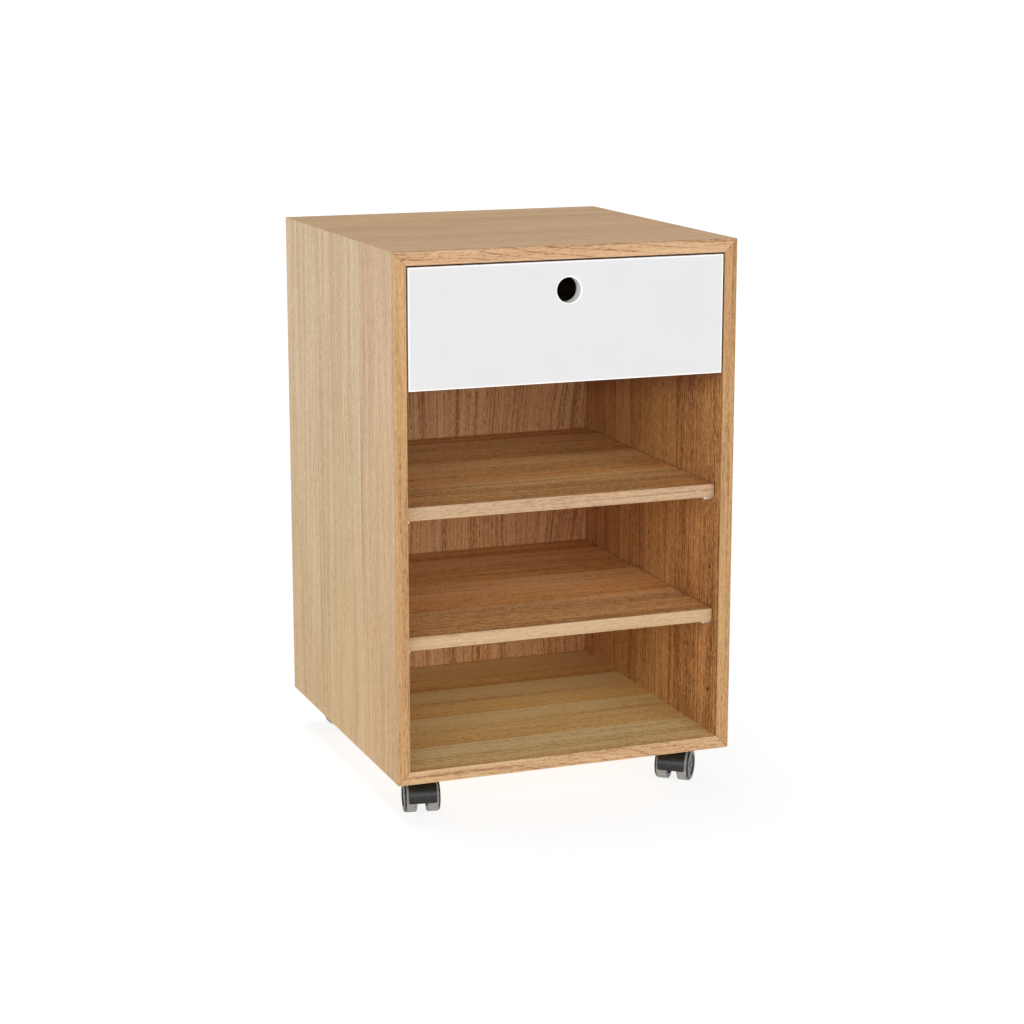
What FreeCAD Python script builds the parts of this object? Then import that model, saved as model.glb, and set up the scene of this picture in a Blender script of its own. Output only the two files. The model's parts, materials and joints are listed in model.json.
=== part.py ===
"""Office drawer unit on castors: an open oak case with one drawer and two loose shelves.

Units are millimetres. The origin is on the floor under the middle of the case.
+X is to the right, +Y is to the back and +Z is up. The front of the case faces -Y.
"""
import FreeCAD
import Part
import math
import os

V = FreeCAD.Vector

# Case
CASE_WIDTH = 430.0
CASE_DEPTH = 440.0
CASE_HEIGHT = 630.0
BOARD = 16.0
LIPPING = 2.0
TOP_CORNER_RADIUS = 1.0
BOTTOM_CORNER_RADIUS = 2.6
LIPPING_ARRIS = 0.8
BACK_BOARD = 12.0
BACK_RECESS = 4.0
BACK_TONGUE = 6.0
TONGUE_LENGTH = 6.0
SPLINE_THICK = 4.0
SPLINE_WIDTH = 12.0
SPLINE_STOP = 24.0

# Drawer
REVEAL = 2.0
FRONT_THICK = 16.0
FRONT_HEIGHT = 142.0
FRONT_ARRIS = 0.8
FINGER_HOLE_R = 15.0
FINGER_HOLE_DROP = 34.0
FINGER_HOLE_BEVEL = 1.0
BOX_BOARD = 12.0
BOX_HEIGHT = 110.0
BOX_BACK_GAP = 8.0
BOX_RISE = 12.0
BOX_FLOOR = 6.0
FLOOR_RISE = 8.0
FLOOR_GROOVE = 6.0
DOWEL_R = 4.0
DOWEL_LENGTH = 30.0
DOWEL_IN_FACE = 8.0
DOWEL_EDGE = 28.0

# Ball bearing runners
RUNNER_THICK = 12.7
RUNNER_HEIGHT = 45.0
RUNNER_SETBACK = 2.0
RUNNER_BACK_GAP = 6.0
RUNNER_RISE = 14.0
RUNNER_OVERLAP = 10.0
SHEET = 1.2
CASE_RAIL_LIP = 11.0
MIDDLE_RAIL_START = 4.2
DRAWER_RAIL_START = 6.5
BALL_R = 1.9
BALL_SPACE = 4.0
BALLS_PER_ROW = 6
CAGE_THICK = 1.0
CAGE_WIDTH = 4.4
CAGE_MARGIN = 10.0
BALL_CLEARANCE = 0.1
SCREW_SHANK_R = 1.75
SCREW_HEAD_R = 3.4
SCREW_HEAD_HEIGHT = 1.8
SCREW_LENGTH = 12.0
DRAWER_SCREW_LENGTH = 9.0
SCREW_RECESS_R = 1.1
SCREW_RECESS_DEPTH = 1.0
RAIL_HOLE_R = 2.0
SCREWS_PER_RAIL = 3
SCREW_END = 40.0

# Shelves
SHELF_THICK = 16.0
SHELF_RECESS = 16.0
SHELF_SIDE_GAP = 1.0
SHELF_BACK_GAP = 2.0
SHELF_LIPPING = 2.0
SHELF_ARRIS = 0.8
SHELF_SEAT_GAP = 0.3
LOWER_PIN_HEIGHT = 156.2
UPPER_PIN_HEIGHT = 312.2
SHELF_STEP = 87.0
PIN_R = 2.5
PIN_OUT = 10.0
PIN_IN = 10.0
PIN_CHAMFER = 0.5
PIN_FRONT_INSET = 28.0
PIN_BACK_INSET = 40.0

# Castors
CASTOR_HEIGHT = 47.0
CASTOR_SIDE_INSET = 44.0
CASTOR_END_INSET = 52.0
CASTOR_TRAIL = 14.0
WHEEL_R = 20.0
WHEEL_WIDTH = 15.0
TREAD_WIDTH = 13.0
TREAD_THICK = 3.0
TREAD_ROUND = 1.5
RIM_R = 19.4
RIM_ROUND = 1.2
WHEEL_DISH_R = 13.5
WHEEL_DISH_DEPTH = 1.2
CAP_R = 4.5
INNER_DISH_R = 14.0
INNER_DISH_DEPTH = 2.0
HUB_R = 6.0
WEB_THICK = 12.4
WHEEL_SIDE_GAP = 0.3
HOOD_GAP = 1.0
HOOD_WALL = 1.5
HOOD_WIDTH = 34.0
HOOD_LOW_ANGLE = -10.0
HOOD_HIGH_ANGLE = 112.0
HOOD_CORNER_R = 2.0
HOOD_DIMPLE_R = 4.2
HOOD_DIMPLE_DEPTH = 0.7
HOOD_DIMPLE_ANGLE = 52.0
AXLE_R = 3.0
AXLE_BOSS_R = 9.0
AXLE_DEPTH_IN_WHEEL = 11.0
BOSS_LENGTH = 15.0
BOSS_LOW = 24.0
BOSS_ROUND = 3.0
BOSS_CAP_R = 9.0
BOSS_CAP_THICK = 2.0
STEM_R = 4.0
STEM_NECK_R = 3.2
STEM_NECK = 2.5
STEM_NECK_DROP = 5.0
STEM_DROP = 17.0
COLLAR_R = 9.0
COLLAR_THICK = 2.4
COLLAR_GAP = 0.3
INSERT_R = 6.0
INSERT_DEPTH = 13.0
STEM_IN_INSERT = 11.0
INSERT_FLANGE_R = 8.0
INSERT_FLANGE = 1.0
CASTORS = (
    ("front_left", -1, -1, -11.0),
    ("front_right", 1, -1, -39.0),
    ("back_left", -1, 1, 115.0),
    ("back_right", 1, 1, 38.0),
)

# Fits
FIT = 0.05
AXLE_END_GAP = 0.3
CUT_PAST = 1.0
WEDGE_PAST = 5.0

# Places worked out from the sizes above
FRONT_Y = -CASE_DEPTH / 2
BACK_Y = CASE_DEPTH / 2
BASE_Z = CASTOR_HEIGHT
TOP_Z = BASE_Z + CASE_HEIGHT
INNER_WIDTH = CASE_WIDTH - 2 * BOARD
CEILING_Z = TOP_Z - BOARD
FLOOR_Z = BASE_Z + BOARD
BACK_FACE_Y = BACK_Y - BACK_RECESS - BACK_BOARD
BOX_LENGTH = BACK_FACE_Y - BOX_BACK_GAP - (FRONT_Y + FRONT_THICK)
RUNNER_LENGTH = BACK_FACE_Y - RUNNER_BACK_GAP - (FRONT_Y + FRONT_THICK + RUNNER_SETBACK)
RUNNER_TRAVEL = RUNNER_LENGTH - RUNNER_OVERLAP
SHELF_PIN_Z = (BASE_Z + LOWER_PIN_HEIGHT, BASE_Z + UPPER_PIN_HEIGHT)
SIDES = (("left", -1), ("right", 1))


def box(x0, x1, y0, y1, z0, z1):
    """A box between two corners, given in any order."""
    low = V(min(x0, x1), min(y0, y1), min(z0, z1))
    return Part.makeBox(abs(x1 - x0), abs(y1 - y0), abs(z1 - z0), low)


def rod(radius, length, start, direction):
    return Part.makeCylinder(radius, length, start, direction)


def prism_xz(points, y0, y1):
    """A closed outline in the XZ plane, pushed from y0 to y1."""
    wire = Part.makePolygon([V(x, y0, z) for x, z in points + points[:1]])
    return Part.Face(wire).extrude(V(0, y1 - y0, 0))


def turned(points, start, direction, side):
    """A lathe shape: points are (radius, distance along direction from start)."""
    wire = Part.makePolygon([start + side * r + direction * a for r, a in points + points[:1]])
    return Part.Face(wire).revolve(start, direction, 360)


def fillet_edges(shape, radius, wanted):
    return shape.makeFillet(radius, [e for e in shape.Edges if wanted(e)])


def lies_at(edge, axis, value):
    """True when both ends of an edge share the given coordinate."""
    return all(abs(getattr(v.Point, axis) - value) < 1e-6 for v in edge.Vertexes)


def runs_deep(edge):
    """True for an edge that runs from the front to the back."""
    return abs(edge.tangentAt(edge.FirstParameter).y) > 0.9


def write(name, *shapes):
    shape = shapes[0] if len(shapes) == 1 else Part.makeCompound(list(shapes))
    shape.exportStep("parts/%s.step" % name)


def case_ring(y0, y1):
    """The four boards' shared outline, a hollow rectangle with rounded outer corners."""
    ring = box(-CASE_WIDTH / 2, CASE_WIDTH / 2, y0, y1, BASE_Z, TOP_Z)
    for radius, z in ((TOP_CORNER_RADIUS, TOP_Z), (BOTTOM_CORNER_RADIUS, BASE_Z)):
        ring = fillet_edges(ring, radius, lambda e: lies_at(e, "z", z) and runs_deep(e))
    hollow = box(-INNER_WIDTH / 2, INNER_WIDTH / 2, y0 - CUT_PAST, y1 + CUT_PAST, FLOOR_Z, CEILING_Z)
    return ring.cut(hollow)


def mitre_wedges():
    """One prism for each board, cut at 45 degrees through the case's corners."""
    reach = BOARD + WEDGE_PAST
    outer_x, inner_x = CASE_WIDTH / 2 + WEDGE_PAST, CASE_WIDTH / 2 - reach
    top, bottom = TOP_Z + WEDGE_PAST, BASE_Z - WEDGE_PAST
    high, low = TOP_Z - reach, BASE_Z + reach
    outlines = {
        "top": [(-outer_x, top), (outer_x, top), (inner_x, high), (-inner_x, high)],
        "bottom": [(-outer_x, bottom), (outer_x, bottom), (inner_x, low), (-inner_x, low)],
        "left": [(-outer_x, bottom), (-outer_x, top), (-inner_x, high), (-inner_x, low)],
        "right": [(outer_x, bottom), (outer_x, top), (inner_x, high), (inner_x, low)],
    }
    y0, y1 = FRONT_Y - WEDGE_PAST, BACK_Y + WEDGE_PAST
    return {name: prism_xz(points, y0, y1) for name, points in outlines.items()}


def mitre_spline(side_x, side_z, clearance):
    """A loose tongue across one mitre, square to it, stopped short of both edges."""
    corner_z = TOP_Z if side_z > 0 else BASE_Z
    middle = V(side_x * (CASE_WIDTH - BOARD) / 2, 0, corner_z - side_z * BOARD / 2)
    along = V(side_x, 0, -side_z) / math.sqrt(2)
    across = V(side_x, 0, side_z) / math.sqrt(2)
    half_w, half_t = SPLINE_WIDTH / 2 + clearance, SPLINE_THICK / 2 + clearance
    corners = [(-1, -1), (1, -1), (1, 1), (-1, 1)]
    points = [middle + along * (a * half_w) + across * (b * half_t) for a, b in corners]
    y0 = FRONT_Y + LIPPING + SPLINE_STOP - clearance
    y1 = BACK_FACE_Y - SPLINE_STOP + clearance
    return prism_xz([(p.x, p.z) for p in points], y0, y1)


def back_tongue():
    half = INNER_WIDTH / 2 + TONGUE_LENGTH
    y0 = BACK_FACE_Y + (BACK_BOARD - BACK_TONGUE) / 2
    low, high = FLOOR_Z - TONGUE_LENGTH, CEILING_Z + TONGUE_LENGTH
    return box(-half, half, y0, y0 + BACK_TONGUE, low, high)


def shelf_pin_rows():
    """Height of every row of pin holes: each shelf's own row and one a step lower."""
    for height in SHELF_PIN_Z:
        yield height
        yield height - SHELF_STEP


def pin_depths():
    return (FRONT_Y + PIN_FRONT_INSET, BACK_FACE_Y - PIN_BACK_INSET)


def runner_front_y():
    return FRONT_Y + FRONT_THICK + RUNNER_SETBACK


def drawer_front_top():
    return CEILING_Z - REVEAL


def box_floor_z():
    """Underside of the drawer box."""
    return drawer_front_top() - FRONT_HEIGHT + BOX_RISE


def runner_z():
    return box_floor_z() + RUNNER_RISE + RUNNER_HEIGHT / 2


def screw_depths():
    first = runner_front_y() + SCREW_END
    pitch = (RUNNER_LENGTH - 2 * SCREW_END) / (SCREWS_PER_RAIL - 1)
    return [first + pitch * i for i in range(SCREWS_PER_RAIL)]


def castor_centre(side_x, side_y):
    x = side_x * (CASE_WIDTH / 2 - CASTOR_SIDE_INSET)
    y = side_y * (CASE_DEPTH / 2 - CASTOR_END_INSET)
    return x, y


def build_case():
    ring = case_ring(FRONT_Y + LIPPING, BACK_Y).cut(back_tongue())
    corners = [(sx, sz) for sx in (-1, 1) for sz in (-1, 1)]
    for sx, sz in corners:
        ring = ring.cut(mitre_spline(sx, sz, FIT))
    for _, sx in SIDES:
        inner = sx * INNER_WIDTH / 2
        for z in shelf_pin_rows():
            for y in pin_depths():
                ring = ring.cut(rod(PIN_R + FIT, PIN_IN, V(inner, y, z), V(sx, 0, 0)))
        for y in screw_depths():
            hole = rod(SCREW_SHANK_R + FIT, SCREW_LENGTH, V(inner, y, runner_z()), V(sx, 0, 0))
            ring = ring.cut(hole)
    for _, sx, sy, _ in CASTORS:
        x, y = castor_centre(sx, sy)
        ring = ring.cut(rod(INSERT_R + FIT, INSERT_DEPTH, V(x, y, BASE_Z), V(0, 0, 1)))
        ring = ring.cut(rod(INSERT_FLANGE_R + FIT, INSERT_FLANGE, V(x, y, BASE_Z), V(0, 0, 1)))
    wedges = mitre_wedges()
    names = {"top": "top_panel", "bottom": "bottom_panel"}
    names.update({"left": "left_side_panel", "right": "right_side_panel"})
    for key, name in names.items():
        write(name, ring.common(wedges[key]).Solids[0])
    write("mitre_splines", *[mitre_spline(sx, sz, 0) for sx, sz in corners])

    front = case_ring(FRONT_Y, FRONT_Y + LIPPING)
    front = fillet_edges(front, LIPPING_ARRIS, lambda e: lies_at(e, "y", FRONT_Y))
    for key, wedge in wedges.items():
        write("%s_lipping" % key, front.common(wedge).Solids[0])

    half = INNER_WIDTH / 2
    board = box(-half, half, BACK_FACE_Y, BACK_FACE_Y + BACK_BOARD, FLOOR_Z, CEILING_Z)
    write("back_panel", board.fuse(back_tongue()).removeSplitter())


def build_shelves():
    half = INNER_WIDTH / 2 - SHELF_SIDE_GAP
    front_y = FRONT_Y + SHELF_RECESS
    back_y = BACK_FACE_Y - SHELF_BACK_GAP
    for name, pin_z in zip(("lower", "upper"), SHELF_PIN_Z):
        z0 = pin_z + PIN_R + SHELF_SEAT_GAP
        z1 = z0 + SHELF_THICK
        write("%s_shelf" % name, box(-half, half, front_y + SHELF_LIPPING, back_y, z0, z1))
        strip = box(-half, half, front_y, front_y + SHELF_LIPPING, z0, z1)
        strip = fillet_edges(strip, SHELF_ARRIS, lambda e: lies_at(e, "y", front_y))
        write("%s_shelf_lipping" % name, strip)
        pins = [shelf_pin(sx, y, pin_z) for _, sx in SIDES for y in pin_depths()]
        write("%s_shelf_pins" % name, *pins)


def shelf_pin(side_x, y, z):
    """A straight steel pin, half in the board and half under the shelf."""
    start = V(side_x * (INNER_WIDTH / 2 - PIN_OUT), y, z)
    end = PIN_OUT + PIN_IN
    tip = PIN_R - PIN_CHAMFER
    outline = [
        (0, 0), (tip, 0), (PIN_R, PIN_CHAMFER),
        (PIN_R, end - PIN_CHAMFER), (tip, end), (0, end),
    ]
    return turned(outline, start, V(side_x, 0, 0), V(0, 0, 1))


def finger_hole():
    z = drawer_front_top() - FINGER_HOLE_DROP
    wide = FINGER_HOLE_R + FINGER_HOLE_BEVEL
    ends = FINGER_HOLE_BEVEL
    past = CUT_PAST
    outline = [
        (0, -past), (wide + past, -past), (FINGER_HOLE_R, ends), (FINGER_HOLE_R, FRONT_THICK - ends),
        (wide + past, FRONT_THICK + past), (0, FRONT_THICK + past),
    ]
    return turned(outline, V(0, FRONT_Y, z), V(0, 1, 0), V(0, 0, 1))


def build_drawer():
    top = drawer_front_top()
    half_front = INNER_WIDTH / 2 - REVEAL
    inner_y = FRONT_Y + FRONT_THICK
    front = box(-half_front, half_front, FRONT_Y, inner_y, top - FRONT_HEIGHT, top)
    front = fillet_edges(front, FRONT_ARRIS, lambda e: lies_at(e, "y", FRONT_Y))
    front = front.cut(finger_hole())

    half = INNER_WIDTH / 2 - RUNNER_THICK
    inside = half - BOX_BOARD
    z0 = box_floor_z()
    z1 = z0 + BOX_HEIGHT
    back_y = inner_y + BOX_LENGTH
    groove = FLOOR_GROOVE
    floor_z = z0 + FLOOR_RISE
    floor = box(-inside - groove, inside + groove, inner_y - groove, back_y - BOX_BOARD + groove,
                floor_z, floor_z + BOX_FLOOR)
    back = box(-inside, inside, back_y - BOX_BOARD, back_y, z0, z1)
    sides = {name: box(sx * inside, sx * half, inner_y, back_y, z0, z1) for name, sx in SIDES}

    dowels = []
    for name, sx in SIDES:
        x = sx * (inside + BOX_BOARD / 2)
        for z in (z0 + DOWEL_EDGE, z1 - DOWEL_EDGE):
            dowels.append((V(x, inner_y - DOWEL_IN_FACE, z), V(0, 1, 0)))
            y = back_y - BOX_BOARD / 2
            dowels.append((V(sx * (inside + DOWEL_IN_FACE), y, z), V(-sx, 0, 0)))
    for start, way in dowels:
        hole = rod(DOWEL_R + FIT, DOWEL_LENGTH, start, way)
        front = front.cut(hole)
        back = back.cut(hole)
        sides = {name: side.cut(hole) for name, side in sides.items()}
    for name, sx in SIDES:
        for y in screw_depths():
            hole = rod(SCREW_SHANK_R + FIT, DRAWER_SCREW_LENGTH, V(sx * half, y, runner_z()), V(-sx, 0, 0))
            sides[name] = sides[name].cut(hole)

    write("drawer_front", front.cut(floor))
    write("drawer_back", back.cut(floor))
    for name, _ in SIDES:
        write("drawer_%s_side" % name, sides[name].cut(floor))
    write("drawer_floor", floor)
    write("drawer_dowels", *[rod(DOWEL_R, DOWEL_LENGTH, start, way) for start, way in dowels])


def channel(side_x, web, lip, half_height, web_at_case):
    """A folded steel channel along Y. web and lip are distances from the case side's face."""
    face = INNER_WIDTH / 2
    web_in = web + SHEET if web_at_case else web - SHEET
    y0 = runner_front_y()
    y1 = y0 + RUNNER_LENGTH
    zc = runner_z()

    def at(distance):
        return side_x * (face - distance)

    solid = box(at(web), at(lip), y0, y1, zc - half_height, zc + half_height)
    open_side = lip + CUT_PAST if web_at_case else lip - CUT_PAST
    hollow = box(at(web_in), at(open_side), y0 - CUT_PAST, y1 + CUT_PAST,
                 zc - half_height + SHEET, zc + half_height - SHEET)
    return solid.cut(hollow)


def screw(start, way, length):
    """A pan head screw. start is the middle of the head's seat and way points along the shank."""
    shank = rod(SCREW_SHANK_R, length, start, way)
    head = rod(SCREW_HEAD_R, SCREW_HEAD_HEIGHT, start - way * SCREW_HEAD_HEIGHT, way)
    rim = start - way * SCREW_HEAD_HEIGHT
    top = [e for e in head.Edges if abs((e.CenterOfMass - rim).dot(way)) < 1e-6]
    head = head.makeFillet(SCREW_HEAD_HEIGHT / 2, top)
    recess = rod(SCREW_RECESS_R, SCREW_RECESS_DEPTH, rim, way)
    return shank.fuse(head).cut(recess)


def ball_cage(side_x, lip_z, x_distance):
    """Two strips, above and below, each with a row of balls in round holes."""
    x = side_x * (INNER_WIDTH / 2 - x_distance)
    length = RUNNER_LENGTH - RUNNER_TRAVEL / 2 - 2 * CAGE_MARGIN
    y0 = runner_front_y() + (RUNNER_LENGTH - length) / 2
    pitch = length / BALLS_PER_ROW
    solids = []
    for sz in (-1, 1):
        z = runner_z() + sz * lip_z
        strip = box(x - CAGE_WIDTH / 2, x + CAGE_WIDTH / 2, y0, y0 + length,
                    z - CAGE_THICK / 2, z + CAGE_THICK / 2)
        hole_r = BALL_R + BALL_CLEARANCE
        for i in range(BALLS_PER_ROW):
            centre = V(x, y0 + pitch * (i + 0.5), z)
            strip = strip.cut(rod(hole_r, BALL_SPACE, centre - V(0, 0, BALL_SPACE / 2), V(0, 0, 1)))
            solids.append(Part.makeSphere(BALL_R, centre))
        solids.append(strip)
    return solids


def build_runners():
    case_half = RUNNER_HEIGHT / 2
    middle_half = case_half - SHEET - BALL_SPACE
    drawer_half = middle_half - SHEET - BALL_SPACE
    case_screws = []
    drawer_screws = []
    for name, sx in SIDES:
        case_rail = channel(sx, 0, CASE_RAIL_LIP, case_half, True)
        middle_rail = channel(sx, MIDDLE_RAIL_START, CASE_RAIL_LIP, middle_half, True)
        drawer_rail = channel(sx, RUNNER_THICK, DRAWER_RAIL_START, drawer_half, False)
        inward = V(-sx, 0, 0)
        for y in screw_depths():
            case_face = V(sx * INNER_WIDTH / 2, y, runner_z())
            drawer_face = case_face + inward * RUNNER_THICK
            case_rail = case_rail.cut(rod(RAIL_HOLE_R, SHEET, case_face, inward))
            drawer_rail = drawer_rail.cut(rod(RAIL_HOLE_R, SHEET, drawer_face, -inward))
            case_screws.append(screw(case_face + inward * SHEET, -inward, SCREW_LENGTH))
            drawer_screws.append(screw(drawer_face - inward * SHEET, inward, DRAWER_SCREW_LENGTH))
        write("%s_case_rail" % name, case_rail)
        write("%s_middle_rail" % name, middle_rail)
        write("%s_drawer_rail" % name, drawer_rail)
        outer_z = case_half - SHEET - BALL_SPACE / 2
        inner_z = middle_half - SHEET - BALL_SPACE / 2
        outer_x = (MIDDLE_RAIL_START + CASE_RAIL_LIP) / 2
        inner_x = (DRAWER_RAIL_START + CASE_RAIL_LIP) / 2
        write("%s_outer_ball_cage" % name, *ball_cage(sx, outer_z, outer_x))
        write("%s_inner_ball_cage" % name, *ball_cage(sx, inner_z, inner_x))
    write("case_rail_screws", *case_screws)
    write("drawer_rail_screws", *drawer_screws)


def castor_axle_z():
    return WHEEL_R


def stem_outline(clearance):
    """The stem's lower part, downwards from the collar, with a neck that keeps it in."""
    r, neck, c = STEM_R + clearance, STEM_NECK_R + clearance, clearance
    a = STEM_NECK_DROP
    b = STEM_NECK_DROP + STEM_NECK
    return [(0, 0), (r, 0), (r, a + c), (neck, a + c), (neck, b - c), (r, b - c),
            (r, STEM_DROP + c), (0, STEM_DROP + c)]


def hood_sector(radius, width):
    """A slice of a disc round the axle, over the angles that the hood covers."""
    centre = V(0, -CASTOR_TRAIL, castor_axle_z())
    span = HOOD_HIGH_ANGLE - HOOD_LOW_ANGLE
    middle = math.radians((HOOD_HIGH_ANGLE + HOOD_LOW_ANGLE) / 2)

    def point(angle, r):
        return centre + V(-width / 2, -r * math.cos(angle), r * math.sin(angle))

    low, high = math.radians(HOOD_LOW_ANGLE), math.radians(HOOD_LOW_ANGLE + span)
    arc = Part.Arc(point(low, radius), point(middle, radius), point(high, radius)).toShape()
    here = V(-width / 2, -CASTOR_TRAIL, castor_axle_z())
    edges = [Part.makeLine(here, point(low, radius)), arc, Part.makeLine(point(high, radius), here)]
    return Part.Face(Part.Wire(edges)).extrude(V(width, 0, 0))


def castor_housing():
    """Web, hood and stem boss in one moulding. Its wheels run either side of the web."""
    axle = V(0, -CASTOR_TRAIL, castor_axle_z())
    across = V(1, 0, 0)
    inner_r = WHEEL_R + HOOD_GAP
    outer_r = inner_r + HOOD_WALL
    shell = hood_sector(outer_r, HOOD_WIDTH)
    wide = HOOD_WIDTH / 2 + CUT_PAST
    shell = shell.cut(rod(inner_r, 2 * wide, axle - across * wide, across))
    low_z = castor_axle_z() + outer_r * math.sin(math.radians(HOOD_LOW_ANGLE))
    ends = [e for e in shell.Edges
            if abs(e.Length - HOOD_WALL) < 1e-3 and e.CenterOfMass.z < low_z + HOOD_WALL]
    shell = shell.makeFillet(HOOD_CORNER_R, ends)
    web = hood_sector(outer_r, WEB_THICK)
    boss_disc = rod(AXLE_BOSS_R, WEB_THICK, axle - across * (WEB_THICK / 2), across)
    cap_top = BASE_Z - COLLAR_THICK - COLLAR_GAP
    half = BOSS_LENGTH / 2
    block = box(-WEB_THICK / 2, WEB_THICK / 2, -CASTOR_TRAIL, half, BOSS_LOW, cap_top - BOSS_CAP_THICK / 2)
    upright = [e for e in block.Edges if lies_at(e, "y", half) and e.BoundBox.ZLength > BOSS_CAP_THICK]
    block = block.makeFillet(BOSS_ROUND, upright)
    cap = rod(BOSS_CAP_R, BOSS_CAP_THICK, V(0, 0, cap_top - BOSS_CAP_THICK), V(0, 0, 1))
    body = shell.fuse([web, boss_disc, block, cap]).removeSplitter()
    body = body.cut(turned(stem_outline(FIT), V(0, 0, BASE_Z - COLLAR_THICK), V(0, 0, -1), V(1, 0, 0)))
    deep = WEB_THICK / 2 + CUT_PAST
    body = body.cut(rod(AXLE_R + FIT, 2 * deep, axle - across * deep, across))
    way = math.radians(HOOD_DIMPLE_ANGLE)
    out = V(0, -math.cos(way), math.sin(way))
    body = body.cut(rod(HOOD_DIMPLE_R, HOOD_WALL, axle + out * (outer_r - HOOD_DIMPLE_DEPTH), out))
    return body.Solids[0]


def wheel_core(side_x):
    """Nylon wheel with a seat for its tread, a rim outside and a blind bore for the axle."""
    inner = WEB_THICK / 2 + WHEEL_SIDE_GAP
    seat_r = WHEEL_R - TREAD_THICK
    w = WHEEL_WIDTH
    bore = AXLE_R + FIT
    outline = [
        (0, AXLE_DEPTH_IN_WHEEL + AXLE_END_GAP), (bore, AXLE_DEPTH_IN_WHEEL + AXLE_END_GAP), (bore, 0),
        (HUB_R, 0), (HUB_R, INNER_DISH_DEPTH), (INNER_DISH_R, INNER_DISH_DEPTH), (INNER_DISH_R, 0),
        (seat_r, 0), (seat_r, TREAD_WIDTH), (RIM_R, TREAD_WIDTH), (RIM_R, w - RIM_ROUND),
        (RIM_R - RIM_ROUND, w), (WHEEL_DISH_R, w), (WHEEL_DISH_R - WHEEL_DISH_DEPTH, w - WHEEL_DISH_DEPTH),
        (CAP_R, w - WHEEL_DISH_DEPTH), (CAP_R - WHEEL_DISH_DEPTH / 2, w - WHEEL_DISH_DEPTH / 2),
        (0, w - WHEEL_DISH_DEPTH / 2),
    ]
    return turned(outline, wheel_start(side_x, inner), V(side_x, 0, 0), V(0, 0, 1))


def wheel_start(side_x, inner):
    return V(side_x * inner, -CASTOR_TRAIL, castor_axle_z())


def wheel_tread(side_x):
    """Soft ring over the wheel's seat, with its running edges rounded."""
    inner = WEB_THICK / 2 + WHEEL_SIDE_GAP
    seat_r = WHEEL_R - TREAD_THICK + FIT
    w = TREAD_WIDTH - FIT
    outline = [(seat_r, 0), (WHEEL_R, 0), (WHEEL_R, w), (seat_r, w)]
    ring = turned(outline, wheel_start(side_x, inner), V(side_x, 0, 0), V(0, 0, 1))
    outer = [e for e in ring.Edges if len(e.Vertexes) == 1 and abs(e.Curve.Radius - WHEEL_R) < 1e-6]
    return ring.makeFillet(TREAD_ROUND, outer)


def castor_stem():
    collar_low = BASE_Z - COLLAR_THICK
    lower = turned(stem_outline(0), V(0, 0, collar_low), V(0, 0, -1), V(1, 0, 0))
    collar = rod(COLLAR_R, COLLAR_THICK, V(0, 0, collar_low), V(0, 0, 1))
    upper = rod(STEM_R, STEM_IN_INSERT, V(0, 0, BASE_Z), V(0, 0, 1))
    return lower.fuse([collar, upper]).removeSplitter()


def castor_insert():
    base = V(0, 0, BASE_Z)
    sleeve = rod(INSERT_R, INSERT_DEPTH, base, V(0, 0, 1))
    flange = rod(INSERT_FLANGE_R, INSERT_FLANGE, base, V(0, 0, 1))
    bore = rod(STEM_R + FIT, INSERT_DEPTH, base, V(0, 0, 1))
    return sleeve.fuse(flange).removeSplitter().cut(bore)


def build_castors():
    housing = castor_housing()
    axle_length = WEB_THICK + 2 * (WHEEL_SIDE_GAP + AXLE_DEPTH_IN_WHEEL)
    axle = rod(AXLE_R, axle_length, V(-axle_length / 2, -CASTOR_TRAIL, castor_axle_z()), V(1, 0, 0))
    stems = []
    inserts = []
    for name, sx, sy, angle in CASTORS:
        x, y = castor_centre(sx, sy)

        def placed(shape):
            copy = shape.copy()
            copy.rotate(V(0, 0, 0), V(0, 0, 1), angle)
            copy.translate(V(x, y, 0))
            return copy

        write("%s_castor_housing" % name, placed(housing))
        write("%s_castor_axle" % name, placed(axle))
        for side, way in SIDES:
            write("%s_castor_%s_wheel" % (name, side), placed(wheel_core(way)))
            write("%s_castor_%s_tread" % (name, side), placed(wheel_tread(way)))
        stems.append(placed(castor_stem()))
        inserts.append(placed(castor_insert()))
    write("castor_stems", *stems)
    write("castor_inserts", *inserts)


os.makedirs("parts", exist_ok=True)
build_case()
build_shelves()
build_drawer()
build_runners()
build_castors()
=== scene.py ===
"""Looks of the office drawer unit: an open oak case, one white drawer, two shelves, four castors.

Everything is in metres, in the case's own frame: the origin on the floor under the middle of
the case, +X to the right, +Y to the back and +Z up. Sizes named below are in millimetres
where they are multiplied by MM.
"""
import json
import math
from collections import namedtuple
import bmesh
import bpy
from mathutils import Matrix, Vector


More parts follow.
